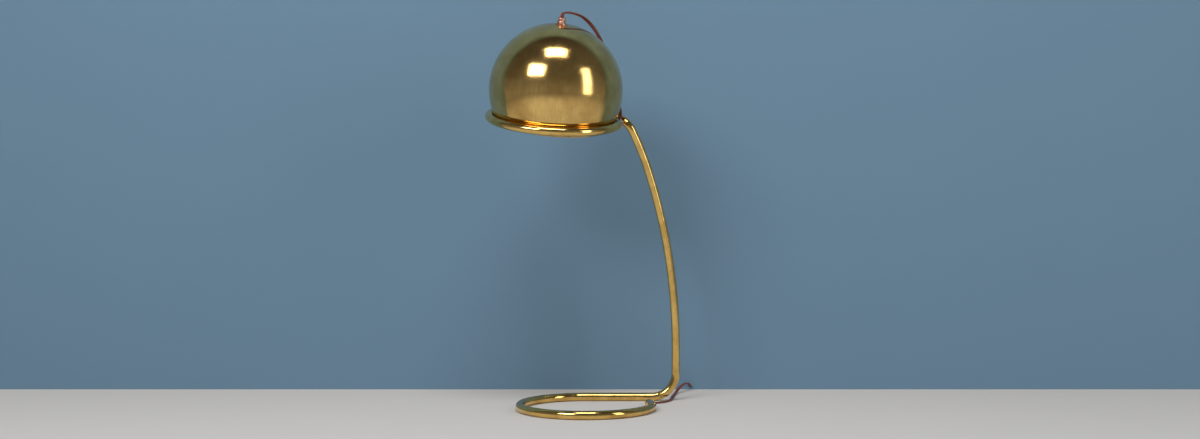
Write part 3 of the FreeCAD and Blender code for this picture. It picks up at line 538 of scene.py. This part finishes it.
def floor_material():
    """Pale floor: lit by the lamps near the object, and evenly pale far away."""
    material, shader = stage_material("floor_pale", FLOOR_COLOR)
    distance = add_node(material, "ShaderNodeVectorMath", operation="LENGTH")
    link(material, position(material), distance.inputs[0])
    far = add_node(material, "ShaderNodeMapRange", interpolation_type="SMOOTHSTEP")
    far.inputs["From Min"].default_value = FLOOR_LIT_RADIUS
    far.inputs["From Max"].default_value = FLOOR_EVEN_RADIUS
    link(material, distance.outputs["Value"], far.inputs["Value"])
    share = add_node(material, "ShaderNodeMath", operation="MULTIPLY")
    link(material, far.outputs["Result"], share.inputs[0])
    link(material, seen_directly(material), share.inputs[1])
    even = add_node(material, "ShaderNodeEmission")
    even.inputs["Color"].default_value = (*FLOOR_EVEN_COLOR, 1.0)
    link(material, dimmed_in_reflections(material), even.inputs["Strength"])
    mix_surface(material, share.outputs["Value"], shader, even)
    return material


def make_stage():
    far = FLOOR_HALF
    floor = mesh_object("floor", [(-far, -far, 0), (far, -far, 0), (far, far, 0), (-far, far, 0)],
                        [(0, 1, 2, 3)], smooth=False)
    floor.data.materials.append(floor_material())
    wall = mesh_object("backdrop", [(-WALL_HALF, WALL_Y, 0), (WALL_HALF, WALL_Y, 0),
                                    (WALL_HALF, WALL_Y, WALL_TOP), (-WALL_HALF, WALL_Y, WALL_TOP)],
                       [(0, 1, 2, 3)], smooth=False)
    wall.data.materials.append(backdrop_material())


def make_world():
    """A soft room, paler at the height of the horizon than overhead, and dim in reflections."""
    world = bpy.data.worlds.new("world")
    world.use_nodes = True
    source = add_node(world, "ShaderNodeTexCoord").outputs["Generated"]
    split = add_node(world, "ShaderNodeSeparateXYZ")
    link(world, source, split.inputs["Vector"])
    height = add_node(world, "ShaderNodeMath", operation="ABSOLUTE")
    link(world, split.outputs["Z"], height.inputs[0])
    background = world.node_tree.nodes["Background"]
    tone = ramp(world, height.outputs["Value"], ROOM_TONES)
    link(world, tone, background.inputs["Color"])
    link(world, dimmed_in_reflections(world), background.inputs["Strength"])
    bpy.context.scene.world = world


def area_light(name, place, width, height, power):
    """A soft box that faces the lamp."""
    data = bpy.data.lights.new(name, "AREA")
    data.shape = "RECTANGLE"
    data.size = width
    data.size_y = height
    data.energy = power
    light = add_object(name, data)
    light.location = place
    light.rotation_euler = look_at(Vector(place), Vector(LIGHTS_AIM))


def make_lights():
    area_light("key", (-1.3, -1.9, 1.7), width=1.1, height=0.8, power=26)
    area_light("fill", (1.9, -1.3, 0.9), width=0.6, height=1.66, power=11)
    area_light("top", (0.0, -0.9, 2.1), width=0.9, height=0.5, power=14)


# ---- lines ----
def coil_route():
    """The coil's turns: in along the floor, up a layer at the middle and out again."""
    points = []
    inner = COIL_OUTER_RADIUS - COIL_PITCH * QUARTERS_IN / 4
    for step in range(QUARTERS * STEPS_PER_QUARTER + 1):
        quarter = step / STEPS_PER_QUARTER
        past = quarter - QUARTERS_IN
        radius = inner + COIL_PITCH * abs(past) / 4
        lift = COIL_LAYER * eased(min(max((past + 1) / 2, 0), 1))
        angle = math.radians(COIL_START_ANGLE - 90 * quarter)
        points.append((COIL_CENTRE[0] + radius * math.cos(angle),
                       COIL_CENTRE[1] + radius * math.sin(angle), COIL_FLOOR + lift))
    return points


def smooth_line(route):
    """Points read from the route's own smooth curve, in metres."""
    curve = bpy.data.curves.new("route", "CURVE")
    curve.dimensions = "3D"
    curve.resolution_u = ROUTE_STEPS
    spline = curve.splines.new("NURBS")
    spline.points.add(len(route) - 1)
    for point, place in zip(spline.points, route):
        point.co = (*(c * MM for c in place), 1.0)
    spline.order_u = 3
    spline.use_endpoint_u = True
    obj = add_object("route", curve)
    bpy.context.view_layer.update()
    mesh = bpy.data.meshes.new_from_object(obj)
    places = [v.co.copy() for v in mesh.vertices]
    bpy.data.objects.remove(obj)
    bpy.data.curves.remove(curve)
    bpy.data.meshes.remove(mesh)
    kept = [places[0]]
    for place in places[1:]:
        if (place - kept[-1]).length > SAME_PLACE:
            kept.append(place)
    return kept


def tangents(line):
    """The direction of travel at each point."""
    last = len(line) - 1
    return [(line[min(n + 1, last)] - line[max(n - 1, 0)]).normalized() for n in range(last + 1)]


def line_length(line):
    return sum((b - a).length for a, b in zip(line, line[1:]))


# ---- meshes along lines ----
def skin_faces(rings, count):
    """Faces of a closed rod that is made of rings with so many points each."""
    faces = []
    for n in range(rings - 1):
        for k in range(count):
            a = n * count + k
            b = n * count + (k + 1) % count
            faces.append((a, b, b + count, a + count))
    faces.append(tuple(range(count - 1, -1, -1)))
    faces.append(tuple(range((rings - 1) * count, rings * count)))
    return faces


def twin_section():
    """Outline of a flat twin cord: two round cores with a groove between them."""
    core = CORD_THICKNESS / 2
    shift = CORD_WIDTH / 2 - core
    step = 2 * CORE_HALF_ARC / (CORE_POINTS - 1)
    outline = []
    for side, outward in ((1, 0), (-1, 180)):
        for n in range(CORE_POINTS):
            angle = math.radians(outward - CORE_HALF_ARC + step * n)
            outline.append((side * shift + core * math.cos(angle), core * math.sin(angle)))
    return outline


def twin_cord(name, line, wide_at):
    """A flat twin cord along a line.

    wide_at tells which way the wide side points, from the share of the points that are passed
    and the direction of travel.
    """
    section = twin_section()
    verts = []
    last = len(line) - 1
    for n, (place, direction) in enumerate(zip(line, tangents(line))):
        wide = wide_at(n / last, direction)
        wide = (wide - direction * wide.dot(direction)).normalized()
        thin = direction.cross(wide)
        verts += [place + wide * a + thin * b for a, b in section]
    return mesh_object(name, verts, skin_faces(len(line), len(section)))


def round_rod(name, line, radius):
    verts = []
    side = ROD_FIRST_SIDE
    for place, direction in zip(line, tangents(line)):
        side = (side - direction * side.dot(direction)).normalized()
        other = direction.cross(side)
        for k in range(ROD_SIDES):
            angle = 2 * math.pi * k / ROD_SIDES
            verts.append(place + (side * math.cos(angle) + other * math.sin(angle)) * radius)
    return mesh_object(name, verts, skin_faces(len(line), ROD_SIDES))


# ---- cords ----
def eased_between(stops, share):
    """The direction at a share of the way, from stops of (share, direction)."""
    for (share_a, side_a), (share_b, side_b) in zip(stops, stops[1:]):
        if share <= share_b:
            t = eased((share - share_a) / (share_b - share_a))
            return side_a * (1 - t) + side_b * t
    return stops[-1][1]


def make_shade_cord(material):
    line = smooth_line(SHADE_CORD_ROUTE)
    stops = [(share, Vector(side)) for share, side in SHADE_CORD_SIDES]
    cord = twin_cord("shade_twin_cord", line, lambda share, _: eased_between(stops, share))
    cord.data.materials.append(material)
    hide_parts("shade_cord")
    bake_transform(cord)


def make_outlet_cord(material):
    line = smooth_line(OUTLET_ROUTE + coil_route() + TAIL_ROUTE)
    total = line_length(line)
    flat_until = OUTLET_FLAT_LENGTH / total
    stands_from = OUTLET_STANDS_FROM / total
    tail_from = 1.0 - TAIL_LENGTH / total

    def wide_at(share, direction):
        """Flat on the floor at first, on its edge in the coil, and flat again at the plug."""
        side = direction.cross(Z_AXIS)
        if share < flat_until:
            return side
        if share < stands_from:
            t = (share - flat_until) / (stands_from - flat_until)
            return side * (1 - t) + Z_AXIS * t
        if share < tail_from:
            return Z_AXIS + side * sum(far * math.sin(share * fast) for far, fast in COIL_SWAYS)
        t = (share - tail_from) / (1 - tail_from)
        return Z_AXIS * (1 - t) + X_AXIS * t

    cord = twin_cord("outlet_twin_cord", line, wide_at)
    cord.data.materials.append(material)
    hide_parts("outlet_cord", "cord_coil", "tail_cord")
    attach(cord, "stand")


# ---- the coil's tie ----
def tie_outline():
    """The rounded rectangle round the coil's turns, as radii and heights in metres."""
    outline = []
    corners = ((0, TIE_FAR, TIE_HIGH, 1, 1), (90, TIE_NEAR, TIE_HIGH, -1, 1),
               (180, TIE_NEAR, TIE_LOW, -1, -1), (270, TIE_FAR, TIE_LOW, 1, -1))
    for start, r, z, out, up in corners:
        for step in range(TIE_CORNER_STEPS + 1):
            turn = math.radians(start + 90 * step / TIE_CORNER_STEPS)
            outline.append(((r + TIE_CORNER * (math.cos(turn) - out)) * MM,
                            (z + TIE_CORNER * (math.sin(turn) - up)) * MM))
    return outline


def tie_band(centre, out, across):
    """The flat band that closes round the turns."""
    outline = tie_outline()
    count = len(outline)
    verts = []
    for n, (r, z) in enumerate(outline):
        r_before, z_before = outline[n - 1]
        r_after, z_after = outline[(n + 1) % count]
        normal = (out * (z_after - z_before) - Z_AXIS * (r_after - r_before)).normalized()
        middle = centre + out * r + Z_AXIS * z
        for side, lift in ((-1, -1), (1, -1), (1, 1), (-1, 1)):
            verts.append(middle + across * side * TIE_HALF_WIDTH * MM
                         + normal * lift * TIE_HALF_THICKNESS * MM)
    faces = []
    for n in range(count):
        after = 4 * ((n + 1) % count)
        for k in range(4):
            a = 4 * n + k
            b = 4 * n + (k + 1) % 4
            faces.append((a, b, after + (k + 1) % 4, after + k))
    return mesh_object("coil_tie_band", verts, faces, smooth=False)


def tie_end(name, centre, out, across, first_turn):
    """One of the two ends, which twist round each other and part at their tips."""
    start = centre + out * TIE_END_RADIUS_OUT * MM + Z_AXIS * TIE_END_HEIGHT * MM
    line = []
    for step in range(TIE_END_STEPS + 1):
        share = step / TIE_END_STEPS
        turn = first_turn + 2 * math.pi * TIE_END_TURNS * share
        apart = TIE_END_APART + TIE_END_PARTING * max(0.0, share - TIE_END_PARTS_FROM)
        lift = Z_AXIS * TIE_END_LIFT * math.sin(TIE_END_BOW * share)
        middle = start + (across * TIE_END_LENGTH + lift) * share * MM
        aside = out * math.cos(turn) + Z_AXIS * (math.sin(turn) + TIE_END_RISE)
        line.append(middle + aside * apart * MM)
    return round_rod(name, line, TIE_END_RADIUS * MM)


def make_coil_tie(material):
    """A flat paper-covered wire round the coil's turns, its two ends twisted together."""
    angle = math.radians(TIE_ANGLE)
    out = Vector((math.cos(angle), math.sin(angle), 0.0))
    across = Vector((-out.y, out.x, 0.0))
    centre = Vector((*COIL_CENTRE, 0.0)) * MM
    pieces = [
        tie_band(centre, out, across),
        tie_end("coil_tie_end_1", centre, out, across, 0.0),
        tie_end("coil_tie_end_2", centre, out, across, math.pi),
    ]
    for piece in pieces:
        piece.data.materials.append(material)
        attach(piece, "stand")
    return pieces


# ---- the plug's ribs ----
def make_plug_ribs(material):
    """Raised grip ribs across the top of the plug's body."""
    low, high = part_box("plug_body")
    middle = (low[0] + high[0]) / 2
    half = RIB_LENGTH * MM / 2
    verts = []
    faces = []
    for rib in range(RIBS):
        y = low[1] + (RIB_START + RIB_PITCH * rib) * MM
        base = len(verts)
        for end in (-1, 1):
            for k in range(RIB_STEPS + 1):
                angle = math.pi * k / RIB_STEPS
                verts.append((middle + end * half, y + RIB_HALF_WIDTH * MM * math.cos(angle),
                              high[2] - RIB_SINK * MM + RIB_HEIGHT * MM * math.sin(angle)))
        other = base + RIB_STEPS + 1
        for k in range(RIB_STEPS):
            faces.append((base + k, other + k, other + k + 1, base + k + 1))
        faces.append((base, base + RIB_STEPS, other + RIB_STEPS, other))
        faces.append(tuple(range(base, base + RIB_STEPS + 1)))
        faces.append(tuple(range(other + RIB_STEPS, other - 1, -1)))
    ribs = mesh_object("plug_grip_ribs", verts, faces)
    ribs.data.materials.append(material)
    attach(ribs, "stand")
    return ribs


# ---- the scene ----
def main():
    make_camera()
    materials = make_materials()
    make_stage()
    make_world()
    make_lights()
    make_shade_cord(materials["cord"])
    on_cord = [make_plug_ribs(materials["plug"])] + make_coil_tie(materials["tie"])
    make_outlet_cord(materials["cord"])
    dress_cad_nodes(materials)
    bpy.context.scene.view_settings.view_transform = "Standard"


main()
